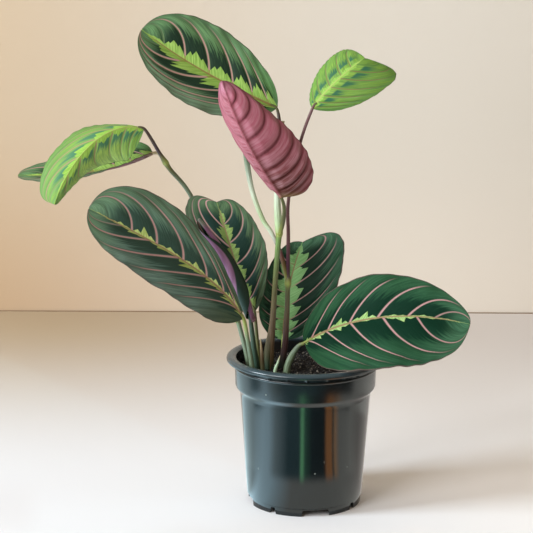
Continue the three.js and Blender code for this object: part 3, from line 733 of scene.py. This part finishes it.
# Each tube is a list of points: x, y, z, radius and tint.
STEMS = {
    "shoot_left": [
        [(-38, 2, 74, 1.6, "dark_green"), (-38, 2, 93, 1.6, "grey_green"),
         (-44, 8, 117, 1.5, "grey_green"), (-45.5, 9, 121, 1.9, "yellow_green"),
         (-47, 10, 125, 1.6, "yellow_green"),
         (-60, 19, 162, 1.4, "grey_green"), (-76, 21, 202, 1.4, "grey_green"),
         (-90, 18, 221, 1.5, "olive"), (-93, 17, 226, 2.0, "yellow_green"), (-95, 16, 229, 1.4, "brown")],
        [(-93, 17, 226, 1.8, "yellow_green"), (-97, 14, 233, 1.2, "brown"), (-101.5, 9.5, 242, 1.1, "brown"),
         (-106, 6, 249.6, 0.9, "brown"), (-110, 4.6, 251.2, 0.5, "olive")],
        [(-93, 17, 225, 1.8, "yellow_green"), (-96, 18, 230, 1.2, "straw"), (-98, 18, 232, 1.1, "straw"),
         (-102.5, 18, 231.6, 0.9, "straw"), (-107, 18.5, 229.3, 0.5, "straw")],
    ],
    "shoot_centre": [
        [(-24, -6, 74, 2.8, "deep"), (-24, -6, 94, 2.6, "olive_brown"), (-22, -6, 123, 2.0, "olive_brown"),
         (-20.5, -6, 150, 1.7, "olive"), (-18.5, -6, 178, 1.8, "leaf_green"),
         (-18, -6, 183, 2.4, "yellow_green"), (-18, -6, 187, 2.0, "pale_green")],
        [(-25, -5, 74, 4.2, "deep"), (-25, -5, 90, 4.0, "dark_green"),
         (-24.4, -5.2, 103, 3.3, "dark_olive"), (-22.6, -5.6, 118, 2.2, "olive_brown"),
         (-22, -5.8, 124, 1.7, "straw")],
        [(-18, -6, 181, 2.1, "yellow_green"), (-18.5, -6, 190, 2.5, "pale_green"),
         (-19.5, -6, 210, 2.0, "silver"), (-18, -2, 240, 1.6, "silver"), (-16, 0, 256, 1.1, "straw")],
        [(-18.5, -2, 238, 1.2, "brown"), (-18, 1, 250, 1.3, "brown"), (-18.8, 4.5, 259, 1.0, "brown"),
         (-20.5, 6, 264, 0.8, "olive"), (-24, 6.7, 266, 0.5, "olive")],
        [(-18, -6, 182, 1.5, "yellow_green"), (-15.5, -11, 192, 1.3, "olive"), (-15, -17, 202, 1.2, "olive"),
         (-17, -21.8, 209.8, 0.9, "olive"), (-19.5, -22.6, 213, 0.5, "olive")],
    ],
    "shoot_right": [
        [(-15.5, 2, 74, 2.4, "deep"), (-15.5, 2, 92, 2.3, "deep"), (-13.5, 2, 108, 2.0, "purple"),
         (-12.5, 2, 126, 1.7, "olive_brown"), (-12.2, 2, 143, 1.6, "olive"),
         (-12, 2, 148, 2.3, "yellow_green"), (-12, 2, 153, 1.6, "purple")],
        [(-12, 2, 148, 1.9, "yellow_green"), (-12, 2, 155, 1.3, "purple"), (-12, 2, 180, 1.2, "maroon"),
         (-12, 0, 205, 1.1, "maroon"), (-5, -1, 241, 1.0, "maroon"), (2.8, 0, 263.8, 0.9, "maroon"),
         (5.5, -1.8, 268, 0.5, "olive")],
        [(-12, 2, 149, 1.7, "yellow_green"), (-17, 3.8, 168, 1.3, "maroon"), (-23, 6.5, 181, 1.4, "silver"),
         (-29, 9, 190, 1.5, "pale_green"), (-36, 11, 209, 1.6, "silver"), (-40, 9, 232, 1.7, "grey_green"),
         (-43, 5, 252, 0.4, "grey_green")],
    ],
    "petiole_front_left": [
        [(-35, -15, 74, 1.6, "dark_green"), (-35, -15, 92, 1.6, "grey_green"),
         (-38, -15, 112, 1.4, "grey_green"), (-40.6, -14, 126.5, 1.2, "yellow_green"),
         (-43, -14.6, 132, 0.6, "olive")],
    ],
    "petiole_back_left": [
        [(-31, 5, 74, 1.5, "dark_green"), (-31, 5, 92, 1.4, "olive"), (-32.5, 6, 112, 1.2, "olive"),
         (-34, 6, 127.8, 0.9, "olive"), (-35.6, 6.6, 132, 0.5, "olive")],
    ],
    "petiole_rolled": [
        [(-32, -8, 74, 1.9, "deep"), (-32, -8, 92, 1.9, "dark_green"), (-34.5, -6.5, 108, 1.7, "dark_green"),
         (-36.4, -3.5, 123.4, 1.4, "dark_green"), (-37.2, -3.2, 128, 1.0, "dark_green")],
    ],
    "petiole_back_centre": [
        [(-15, 13, 74, 1.4, "deep"), (-15, 13, 92, 1.3, "olive"), (-15, 15.8, 105.6, 0.9, "yellow_green"),
         (-14.8, 17.6, 110, 0.5, "yellow_green")],
    ],
    "petiole_front_right": [
        [(-13, -12, 74, 2.4, "dark_green"), (-12.7, -12, 92, 2.3, "grey_green"),
         (-9.5, -12.5, 102, 2.1, "grey_green"), (-5, -14, 109.5, 1.4, "grey_green"),
         (-1, -15, 112, 1.0, "yellow_green"), (4, -16.3, 115.6, 0.6, "yellow_green")],
    ],
    "sheath_front": [
        [(-28.5, -14, 74, 1.5, "deep"), (-28.5, -14, 93, 1.5, "dark_olive"),
         (-29, -14, 103, 1.2, "olive_brown"), (-30, -13, 114, 0.3, "straw")],
    ],
    "sheath_tip": [
        [(-20.5, -14, 74, 1.3, "deep"), (-20.4, -14, 91, 1.2, "mint"), (-18.5, -14, 98, 0.8, "mint"),
         (-17, -14, 103, 0.25, "straw")],
    ],
}


def stem_tree():
    """Sweeps a ribbed round section along each chain of points, swelling as they say."""
    inputs = {
        "Geometry": ("NodeSocketGeometry", None), "Sides": ("NodeSocketInt", 28),
        "Steps": ("NodeSocketInt", 12), "Ribs": ("NodeSocketFloat", 9.0),
        "Rib height": ("NodeSocketFloat", 0.05), "Material": ("NodeSocketMaterial", None),
    }
    tree, given, made = new_group("stem_sweep", "GeometryNodeTree", inputs, SHAPE)
    chain = tree.result("GeometryNodeMeshToCurve", {0: given["Geometry"]})
    chain = tree.result("GeometryNodeCurveSplineType", {0: chain}, spline_type="CATMULL_ROM")
    chain = tree.result("GeometryNodeSetSplineResolution", {0: chain, 2: given["Steps"]})
    length = tree.result("GeometryNodeSplineParameter", output="Length")
    chain = tree.keep_value(chain, "along", length)

    circle = {"Resolution": given["Sides"], "Radius": 1.0}
    section = tree.result("GeometryNodeCurvePrimitiveCircle", circle)
    around = tree.field("GeometryNodeSplineParameter")
    section = tree.keep_value(section, "around", around)
    swell = tree.math("COSINE", around * Field(tree, given["Ribs"]) * (2 * math.pi))
    swell = swell * Field(tree, given["Rib height"])
    outward = {0: tree.result("GeometryNodeInputPosition"), "Scale": swell}
    offset = tree.result("ShaderNodeVectorMath", outward, operation="SCALE")
    section = tree.result("GeometryNodeSetPosition", {0: section, "Offset": offset})

    thick = tree.result("GeometryNodeInputNamedAttribute", {"Name": "thick"}, data_type="FLOAT")
    sweep = {0: chain, 1: section, "Scale": thick, "Fill Caps": True}
    whole = tree.result("GeometryNodeCurveToMesh", sweep)
    whole = tree.result("GeometryNodeSetShadeSmooth", {0: whole})
    whole = tree.result("GeometryNodeRealizeInstances", {0: whole})
    whole = tree.result("GeometryNodeSetMaterial", {0: whole, "Material": given["Material"]})
    tree.feed(made[0], whole)
    return tree.tree


def grow(name, mesh, tree, **values):
    """Runs a geometry tree on the mesh and keeps its result as a plain mesh."""
    seed = link(name + "_seed", mesh)
    modifier = seed.modifiers.new("grow", "NODES")
    modifier.node_group = tree
    for item in tree.interface.items_tree:
        if item.in_out == "INPUT" and item.name in values:
            modifier[item.identifier] = values[item.name]
    return keep_result(seed, name)


def keep_result(source, name):
    """The evaluated object as a plain mesh with this name; the object itself goes."""
    evaluated = source.evaluated_get(bpy.context.evaluated_depsgraph_get())
    result = bpy.data.meshes.new_from_object(evaluated)
    result.name = name
    bpy.data.objects.remove(source)
    return result


def chain_mesh(name, tubes):
    """The tubes' points as chains of edges with the attributes 'thick' and 'tint'."""
    points, edges = [], []
    for tube in tubes:
        edges += [(len(points) + i, len(points) + i + 1) for i in range(len(tube) - 1)]
        points += tube
    mesh = plain_mesh(name, [tuple(c * MM for c in point[:3]) for point in points], (), edges)
    thick = mesh.attributes.new("thick", "FLOAT", "POINT")
    thick.data.foreach_set("value", [point[3] * MM for point in points])
    tint = mesh.attributes.new("tint", "FLOAT_COLOR", "POINT")
    tint.data.foreach_set("color", [part for point in points for part in srgb(TINTS[point[4]])])
    return mesh


def stem_material():
    """Tinted along the stem, with fine lengthwise fibres and a satin skin."""
    material, tree, shader = new_material("stem_skin", Specular_IOR_Level=0.5)
    around = tree.field("ShaderNodeAttribute", output=2, attribute_name="around")
    along = tree.field("ShaderNodeAttribute", output=2, attribute_name="along")
    tint = tree.result("ShaderNodeAttribute", attribute_name="tint")
    turn = around * (2 * math.pi)
    place = tree.vector(tree.math("COSINE", turn) * 2.2, tree.math("SINE", turn) * 2.2, along * 70)
    fibre = tree.step(tree.noise(place, 1.6, 4.0, 0.6), 0.3, 0.7)
    fibre_tone = tree.blend(fibre, (0.62, 0.6, 0.55, 1), (1.0, 1.0, 1.0, 1))
    colour = tree.blend(0.75, tint, fibre_tone, "MULTIPLY")
    surface(tree, shader, colour, fibre * 0.14 + 0.34, fibre, 0.4, 0.0002)
    return material


STEM_SKIN = stem_material()
STEM_TREE = stem_tree()
for name, tubes in STEMS.items():
    mesh = grow("stem_" + name, chain_mesh(name, tubes), STEM_TREE, Material=STEM_SKIN)
    add_piece("stem_" + name, mesh, name)


# ---- pot ----------------------------------------------------------------------------------------
# Radius and height: pad and foot, wall, collar, bead, neck, rolled rim, then the inside down.
POT_PROFILE = (
    (0, 0), (12, 0), (13, 5), (36, 5), (36, 0), (37.6, 0), (37.8, 5), (38.4, 5.5),
    (43.4, 74), (43.7, 76), (44.6, 77.6), (46.0, 79), (46.6, 80.5), (47, 92),
    (47.5, 92.6), (47.6, 93), (47.5, 93.4), (47, 94), (47, 94.3), (47, 96.9), (47, 97.2),
    (50.5, 97), (51.1, 96.5), (52.0, 96.7), (52.4, 97.3), (52.5, 98.0), (52.3, 98.8),
    (51.6, 99.5), (50.5, 100), (48.5, 100), (47.2, 99.6), (46.2, 98.9), (45.8, 97.5),
    (45.0, 79.5), (42.0, 75), (36.6, 6.6), (0, 6.6),
)
POT_SEGMENTS = 192
# Small ribs stand out under the rim between these heights, one in every few segments.
RIB_SPAN = (94.3, 96.9)
RIB_STEP = 8
RIB_HEIGHT = 1.1
# Notches of the foot, wide and narrow by turns, and drain holes; start is in degrees.
NOTCHES = {
    "count": 8, "start": -79.5, "wide": 19, "narrow": 5, "height": 4.3, "taper": 1, "radius": 35,
    "depth": 8,
}
DRAINS = {"count": 6, "radius": 3, "from_axis": 25, "middle": 5.8, "depth": 4}


def turned_faces(rings, segments, upwards=False):
    """Faces of a closed turned body: a fan at one end, bands between the rings and a fan at the
    other end. Its points are the rings by turns, then the middles of the first and last fan.
    Without upwards the rings run from the top down."""
    here = np.arange(segments)
    after = (here + 1) % segments
    middle, end = rings * segments, (rings - 1) * segments
    faces = [(middle, h, n) for h, n in zip(here, after)]
    for k in range(rings - 1):
        p, q = k * segments, (k + 1) * segments
        faces += np.stack([here + p, here + q, after + q, after + p], 1).tolist()
    faces += [(middle + 1, n + end, h + end) for h, n in zip(here, after)]
    return [(face[0], *face[:0:-1]) for face in faces] if upwards else faces


def lathe(profile, segments):
    """A closed turned body; the profile starts and ends on the axis."""
    angle = np.linspace(0, 2 * np.pi, segments, endpoint=False)
    inner = np.array(profile[1:-1], float)
    ring = np.stack([np.cos(angle), np.sin(angle)], 1)
    bulge = RIB_HEIGHT * (np.arange(segments) % RIB_STEP == 0)[:, None]
    points = np.concatenate([
        np.concatenate([ring * (r + bulge * (z in RIB_SPAN)), np.full((segments, 1), z)], 1)
        for r, z in inner])
    points = np.concatenate([points, [(0, 0, profile[0][1]), (0, 0, profile[-1][1])]])
    return points, turned_faces(len(inner), segments, upwards=True)


def pot_mesh():
    """The turned pot with notches cut from its foot and drain holes through its floor."""
    points, faces = lathe(POT_PROFILE, POT_SEGMENTS)
    cut = bmesh.new()
    for i in range(NOTCHES["count"]):
        width = NOTCHES["wide"] if i % 2 == 0 else NOTCHES["narrow"]
        angle = math.radians(NOTCHES["start"] + i * 360 / NOTCHES["count"])
        corners = bmesh.ops.create_cube(cut, size=1)["verts"]
        for corner in corners:
            side, depth, up = corner.co.y * 2, corner.co.x, corner.co.z > 0
            side *= width / 2 - (NOTCHES["taper"] if up else 0)
            radius = NOTCHES["radius"] + depth * NOTCHES["depth"]
            height = NOTCHES["height"] if up else -1
            corner.co = Vector((radius * math.cos(angle) - side * math.sin(angle),
                                radius * math.sin(angle) + side * math.cos(angle), height)) * MM
    out, radius, depth = DRAINS["from_axis"], DRAINS["radius"] * MM, DRAINS["depth"] * MM
    for i in range(DRAINS["count"]):
        angle = math.radians(i * 360 / DRAINS["count"])
        hole = bmesh.ops.create_cone(cut, cap_ends=True, segments=32, radius1=radius,
                                     radius2=radius, depth=depth)["verts"]
        middle = Vector((out * math.cos(angle), out * math.sin(angle), DRAINS["middle"])) * MM
        bmesh.ops.translate(cut, verts=hole, vec=middle)
    cutter_mesh = bpy.data.meshes.new("pot_cuts")
    bmesh.ops.recalc_face_normals(cut, faces=cut.faces)
    cut.to_mesh(cutter_mesh)
    cut.free()
    pot = link("pot_turned", plain_mesh("pot_turned", points * MM, faces))
    cutter = link("pot_cuts", cutter_mesh)
    boolean = pot.modifiers.new("cuts", "BOOLEAN")
    boolean.object = cutter
    boolean.operation = "DIFFERENCE"
    boolean.solver = "EXACT"
    result = keep_result(pot, "pot_shell")
    bpy.data.objects.remove(cutter)
    result.shade_smooth()
    result.set_sharp_from_angle(angle=math.radians(32))
    return result


def pot_material():
    """Dark green-black moulded plastic: glossy, lightly scuffed, with a few specks of dust and a painted
    reflection on the rim.
    """
    material, tree, shader = new_material("pot_plastic", Specular_IOR_Level=0.5)
    place = tree.place()
    cloud = tree.noise(place, 28.0, 4.0, 0.6)
    grain = tree.noise(place, 900.0, 2.0)
    specks = tree.field("ShaderNodeTexVoronoi", {"Vector": place, "Scale": 95.0})
    dust = 1 - tree.step(specks, 0.035, 0.06)
    dust = dust * tree.step(tree.noise(place, 60.0, 1.0), 0.52, 0.6)
    colour = tree.blend(cloud, srgb("0a1012"), srgb("121b1e"))
    height = tree.field("ShaderNodeSeparateXYZ", {0: place}, output=2)
    rim = tree.step(height, 0.097, 0.0995)
    collar = tree.step(height, 0.0775, 0.079)
    # painted reflection: the rim's top is a lighter blue-grey where it mirrors the room
    colour = tree.blend(rim * (cloud * 0.5 + 0.5), colour, srgb("3c4f57"))
    colour = tree.blend(dust * 0.6, colour, srgb("8f9a94"))
    rough = cloud * 0.08 + dust * 0.4 + collar * 0.14 + 0.07
    surface(tree, shader, colour, rough, grain, 0.12, 0.0001)
    return material


add_piece("pot_shell", pot_mesh(), "pot", pot_material())


# ---- soil ---------------------------------------------------------------------------------------
SOIL_LEVEL = 90
SOIL_RADIUS = 44.8
# Radius and height of the filling's wall down to its foot, and in metres where crumbs may lie.
SOIL_WALL = ((44.6, 80), (41.6, 75), (36.5, 7))
CRUMBS_ABOVE = 0.085


def soil_mesh(rings=70, segments=200):
    """The filling as one closed body with a lumpy top."""
    angle = np.linspace(0, 2 * np.pi, segments, endpoint=False)
    radius = SOIL_RADIUS * np.arange(1, rings + 1) / rings
    r, a = np.meshgrid(radius, angle, indexing="ij")
    x, y = r * np.cos(a), r * np.sin(a)
    lump = np.sin(x / 5) * np.cos(y / 6 + 1) + 0.5 * np.sin((x + y) / 3)
    fine = np.sin(x * 1.7 + 2 * np.sin(y)) * np.sin(y * 1.9 + 2 * np.sin(x * 0.8))
    z = SOIL_LEVEL + lump + 0.35 * fine
    top = np.stack([x, y, z], -1).reshape(-1, 3)
    ring = np.stack([np.cos(angle), np.sin(angle)], 1)
    lower = [np.concatenate([ring * rr, np.full((segments, 1), zz)], 1) for rr, zz in SOIL_WALL]
    points = np.concatenate([top, *lower, [(0, 0, SOIL_LEVEL), (0, 0, SOIL_WALL[-1][1])]])
    faces = turned_faces(rings + len(SOIL_WALL), segments)
    mesh = plain_mesh("soil", points * MM, faces)
    mesh.shade_smooth()
    return mesh


def crumb_tree():
    """Scatters angular crumbs over the upward faces of the soil and joins them to it."""
    inputs = {
        "Geometry": ("NodeSocketGeometry", None), "Density": ("NodeSocketFloat", 420000.0),
        "Smallest": ("NodeSocketFloat", 0.0004), "Largest": ("NodeSocketFloat", 0.0016),
        "Seed": ("NodeSocketInt", 5), "Material": ("NodeSocketMaterial", None),
    }
    tree, given, made = new_group("soil_crumbs", "GeometryNodeTree", inputs, SHAPE)
    normal = tree.result("GeometryNodeInputNormal")
    upward = tree.field("ShaderNodeSeparateXYZ", {0: normal}, 2)
    high = tree.field("ShaderNodeSeparateXYZ", {0: tree.result("GeometryNodeInputPosition")}, 2)
    top = tree.math("GREATER_THAN", upward, 0.5) * tree.math("GREATER_THAN", high, CRUMBS_ABOVE)
    scatter = tree.result("GeometryNodeDistributePointsOnFaces", {
        "Mesh": given["Geometry"], "Selection": top, "Density": given["Density"],
        "Seed": given["Seed"]})

    crumb = tree.result("GeometryNodeMeshIcoSphere", {"Radius": 1.0, "Subdivisions": 2})
    jag = tree.result("ShaderNodeTexNoise", {"Scale": 1.3, "Detail": 2.0}, 1)
    for operation, number in (("SUBTRACT", 0.5), ("MULTIPLY", 1.6)):
        feeds = {0: jag, 1: (number, number, number)}
        jag = tree.result("ShaderNodeVectorMath", feeds, operation=operation)
    crumb = tree.result("GeometryNodeSetPosition", {0: crumb, "Offset": jag})

    any_turn = {1: (6.28, 6.28, 6.28), "Seed": 3}
    turn = tree.result("FunctionNodeRandomValue", any_turn, data_type="FLOAT_VECTOR")
    share = tree.field("FunctionNodeRandomValue", {"Seed": 8}, 1, data_type="FLOAT")
    small, large = Field(tree, given["Smallest"]), Field(tree, given["Largest"])
    size = small + (large - small) * share * share * share
    loose = tree.result("GeometryNodeInstanceOnPoints", {
        "Points": scatter, "Instance": crumb, "Rotation": turn, "Scale": size})
    loose = tree.result("GeometryNodeRealizeInstances", {0: loose})
    joined = tree.add("GeometryNodeJoinGeometry")
    tree.feed(joined.inputs[0], loose)
    tree.feed(joined.inputs[0], given["Geometry"])
    whole = {0: joined.outputs[0], "Material": given["Material"]}
    tree.feed(made[0], tree.result("GeometryNodeSetMaterial", whole))
    return tree.tree


def soil_material():
    """Moist black-brown potting mix with a few pale grains."""
    material, tree, shader = new_material("potting_soil", Specular_IOR_Level=0.35)
    place = tree.place()
    tone = tree.noise(place, 260.0, 4.0, 0.7)
    pale = tree.step(tree.noise(place, 420.0, 2.0), 0.6, 0.67)
    colour = tree.blend(tree.step(tone, 0.4, 0.75), srgb("070606"), srgb("1e1814"))
    colour = tree.blend(pale * 0.8, colour, srgb("8a8478"))
    surface(tree, shader, colour, tone * 0.35 + 0.55, tone, 0.6, 0.0004)
    return material


soil = grow("soil_filling", soil_mesh(), crumb_tree(), Material=soil_material())
add_piece("soil_filling", soil, "soil")


# ---- stage, light and camera --------------------------------------------------------------------
def plane(name, corners, material):
    made = link(name, plain_mesh(name, corners, [(0, 1, 2, 3)]))
    made.data.materials.append(material)


def area_light(name, place, target, size, power, colour):
    lamp = bpy.data.lights.new(name, "AREA")
    lamp.shape = "RECTANGLE"
    lamp.size, lamp.size_y = size
    lamp.energy = power
    lamp.color = colour
    made = link(name, lamp)
    made.location = place
    made.rotation_euler = (Vector(target) - Vector(place)).to_track_quat("-Z", "Y").to_euler()


def stage_material(name, tones, across, axis, along):
    """A matt surface between four tones: left and right end of one side, then of the other."""
    material, tree, shader = new_material(name, Roughness=0.9, Specular_IOR_Level=0.2)
    place = tree.add("ShaderNodeSeparateXYZ", {0: tree.place()}).outputs
    share = tree.step(place[0], *across)
    one, other = (tree.blend(share, srgb(left), srgb(right)) for left, right in tones)
    tree.feed(shader["Base Color"], tree.blend(tree.step(place[axis], *along), one, other))
    return material


def one_sided(material):
    """Clear from behind, so that a view from there still shows the plant."""
    nodes, links = material.node_tree.nodes, material.node_tree.links
    clear = nodes.new("ShaderNodeBsdfTransparent")
    choose = nodes.new("ShaderNodeMixShader")
    links.new(nodes.new("ShaderNodeNewGeometry").outputs["Backfacing"], choose.inputs[0])
    links.new(nodes["Principled BSDF"].outputs[0], choose.inputs[1])
    links.new(clear.outputs[0], choose.inputs[2])
    links.new(choose.outputs[0], nodes["Material Output"].inputs[0])
    return material


# The four tones of table and wall paint the room's uneven light: painted shade towards the left and back,
# painted light towards the right and front.
TABLE_TONES = (("dee0e4", "fcfdff"), ("b3a187", "d8d2ce"))
WALL_TONES = (("ba9f80", "e1d9cd"), ("bca88e", "d3cdc2"))
table_tone = stage_material("table", TABLE_TONES, (-0.25, 0.25), 1, (0.03, 0.5))
wall_tone = one_sided(stage_material("wall", WALL_TONES, (-0.35, 0.15), 2, (0.0, 0.2)))
seam_tone = stage_material("seam", (("8a745c", "9a8a78"),) * 2, (0, 1), 2, (0, 1))
# The wall stands this far behind the pot's axis, in metres, with a thin dark seam at its foot.
WALL_Y = 0.534
SEAM = 0.001
SEAM_Y = WALL_Y - SEAM
plane("table", [(-4, -4, 0), (4, -4, 0), (4, WALL_Y, 0), (-4, WALL_Y, 0)], table_tone)
plane("back_floor", [(-4, WALL_Y, 0), (4, WALL_Y, 0), (4, 5, 0), (-4, 5, 0)], table_tone)
plane("wall", [(-4, WALL_Y, 0), (4, WALL_Y, 0), (4, WALL_Y, 4), (-4, WALL_Y, 4)], wall_tone)
plane("seam", [(-4, SEAM_Y, 0), (4, SEAM_Y, 0), (4, SEAM_Y, SEAM), (-4, SEAM_Y, SEAM)], seam_tone)

world = bpy.data.worlds.new("studio")
world.use_nodes = True
background = world.node_tree.nodes["Background"].inputs
background["Color"].default_value = (1.0, 0.78, 0.57, 1)
background["Strength"].default_value = 0.4
bpy.context.scene.world = world
area_light("window", (-1.75, -0.5, 0.98), (0, 0, 0.1), (0.6, 0.6), 41, (0.82, 0.92, 1.0))
area_light("fill", (-1.2, -1.4, 0.9), (0, 0, 0.15), (0.9, 0.9), 25, (0.96, 0.97, 0.98))

# Painted reflections that the glossy pot mirrors of the room in front of it: glowing bands by azimuth in
# degrees,
# 0 in front and growing to the right, first on the table near by, then farther out and high on the collar.
WINDOW_GLOW = (2.3, 3.3, 3.8)
PALE_GLOW = (1.2, 1.6, 1.7)
WARM_GLOW = (1.2, 1.2, 1.1)
FAINT_GLOW = (1.05, 1.4, 1.5)
SHADED = (0.7, 0.65, 0.6)
DIM = (0.15, 0.3, 0.33)
DARK = (0.04, 0.05, 0.05)
GREEN_STRIP = (1.1, 3.2, 1.5)
BROWN_STRIP = (2.3, 0.95, 0.3)
TAN_STRIP = (2.5, 1.4, 0.7)
MIRRORED_NEAR = [
    (-180, FAINT_GLOW), (-95, FAINT_GLOW), (-80, WINDOW_GLOW), (-55, WINDOW_GLOW),
    (-20, WARM_GLOW), (60, WARM_GLOW), (100, SHADED),
]
MIRRORED_FAR = [
    (-180, PALE_GLOW), (-100, PALE_GLOW), (-75, WINDOW_GLOW), (-62, WINDOW_GLOW), (-50, PALE_GLOW),
    (-28, DIM), (-9, DIM), (-7, GREEN_STRIP), (-4, GREEN_STRIP), (-1, (0.2, 0.6, 0.35)), (10, DARK),
    (30, DARK), (34, BROWN_STRIP), (42, BROWN_STRIP), (45, DIM), (48, TAN_STRIP), (56, WARM_GLOW),
    (80, WARM_GLOW), (100, SHADED),
]
MIRRORED_HIGH = [
    (-180, PALE_GLOW), (-100, PALE_GLOW), (-90, DIM), (-78, DIM), (-73, PALE_GLOW), (-65, WINDOW_GLOW),
    (-58, PALE_GLOW), (-44, (0.5, 0.6, 0.5)), (-36, DIM), (10, DIM), (35, DARK), (74, DARK),
    (80, WARM_GLOW), (110, WARM_GLOW), (140, SHADED),
]
# Distances from the axis, in metres, between which near turns to far and far to high.
NEAR_TO_FAR = (0.078, 0.093)
FAR_TO_HIGH = (0.175, 0.19)


def glowing_reflection_ring(steps=60, first=-235, last=55, inner=0.04, outer=2, height=0.0015):
    """A lying ring that glows, though it is no lamp, and only shows in gloss: it paints the reflection bands
    on the pot.
    """
    material, tree = new_material("glowing_reflection_ring")[:2]
    nodes = material.node_tree.nodes
    nodes.remove(nodes["Principled BSDF"])
    place = tree.add("ShaderNodeSeparateXYZ", {0: tree.place()}).outputs
    x, y = Field(tree, place[0]), Field(tree, place[1])
    azimuth = tree.math("ARCTAN2", x, y * -1) * (180 / math.pi)
    radius = (x * x + y * y) ** 0.5
    near, far, high = (
        tree.ramp(azimuth, -180, 180, bands)
        for bands in (MIRRORED_NEAR, MIRRORED_FAR, MIRRORED_HIGH))
    colour = tree.blend(tree.step(radius, *NEAR_TO_FAR), near, far)
    colour = tree.blend(tree.step(radius, *FAR_TO_HIGH), colour, high)
    glow = tree.result("ShaderNodeEmission", {0: colour, 1: 1.0})
    tree.feed(nodes["Material Output"].inputs[0], glow)
    turn = np.radians(np.linspace(first, last, steps))
    ring = np.stack([np.cos(turn), np.sin(turn), np.full(steps, height)], 1)
    points = np.concatenate([ring * (outer, outer, 1), ring * (inner, inner, 1)])
    faces = [(i, i + 1, i + 1 + steps, i + steps) for i in range(steps - 1)]
    made = link("glowing_reflection_ring", plain_mesh("glowing_reflection_ring", points, faces))
    made.data.materials.append(material)
    for ray in ("camera", "diffuse", "shadow", "transmission"):
        setattr(made, "visible_" + ray, False)


glowing_reflection_ring()

# The fitted camera: focal length and picture width are in pixels of the photograph.
SENSOR_WIDTH = 36
FOCAL_LENGTH = 1800
PICTURE_WIDTH = 533
camera = bpy.data.cameras.new("camera")
camera.sensor_width = SENSOR_WIDTH
camera.lens = FOCAL_LENGTH / PICTURE_WIDTH * SENSOR_WIDTH
view = link("camera", camera)
view.location = (-0.0262, -1.157, 0.408)
view.rotation_mode = "ZYX"
view.rotation_euler = (math.radians(90 - 12.11), 0, math.radians(0.26))
bpy.context.scene.camera = view
bpy.context.scene.view_settings.view_transform = "Standard"
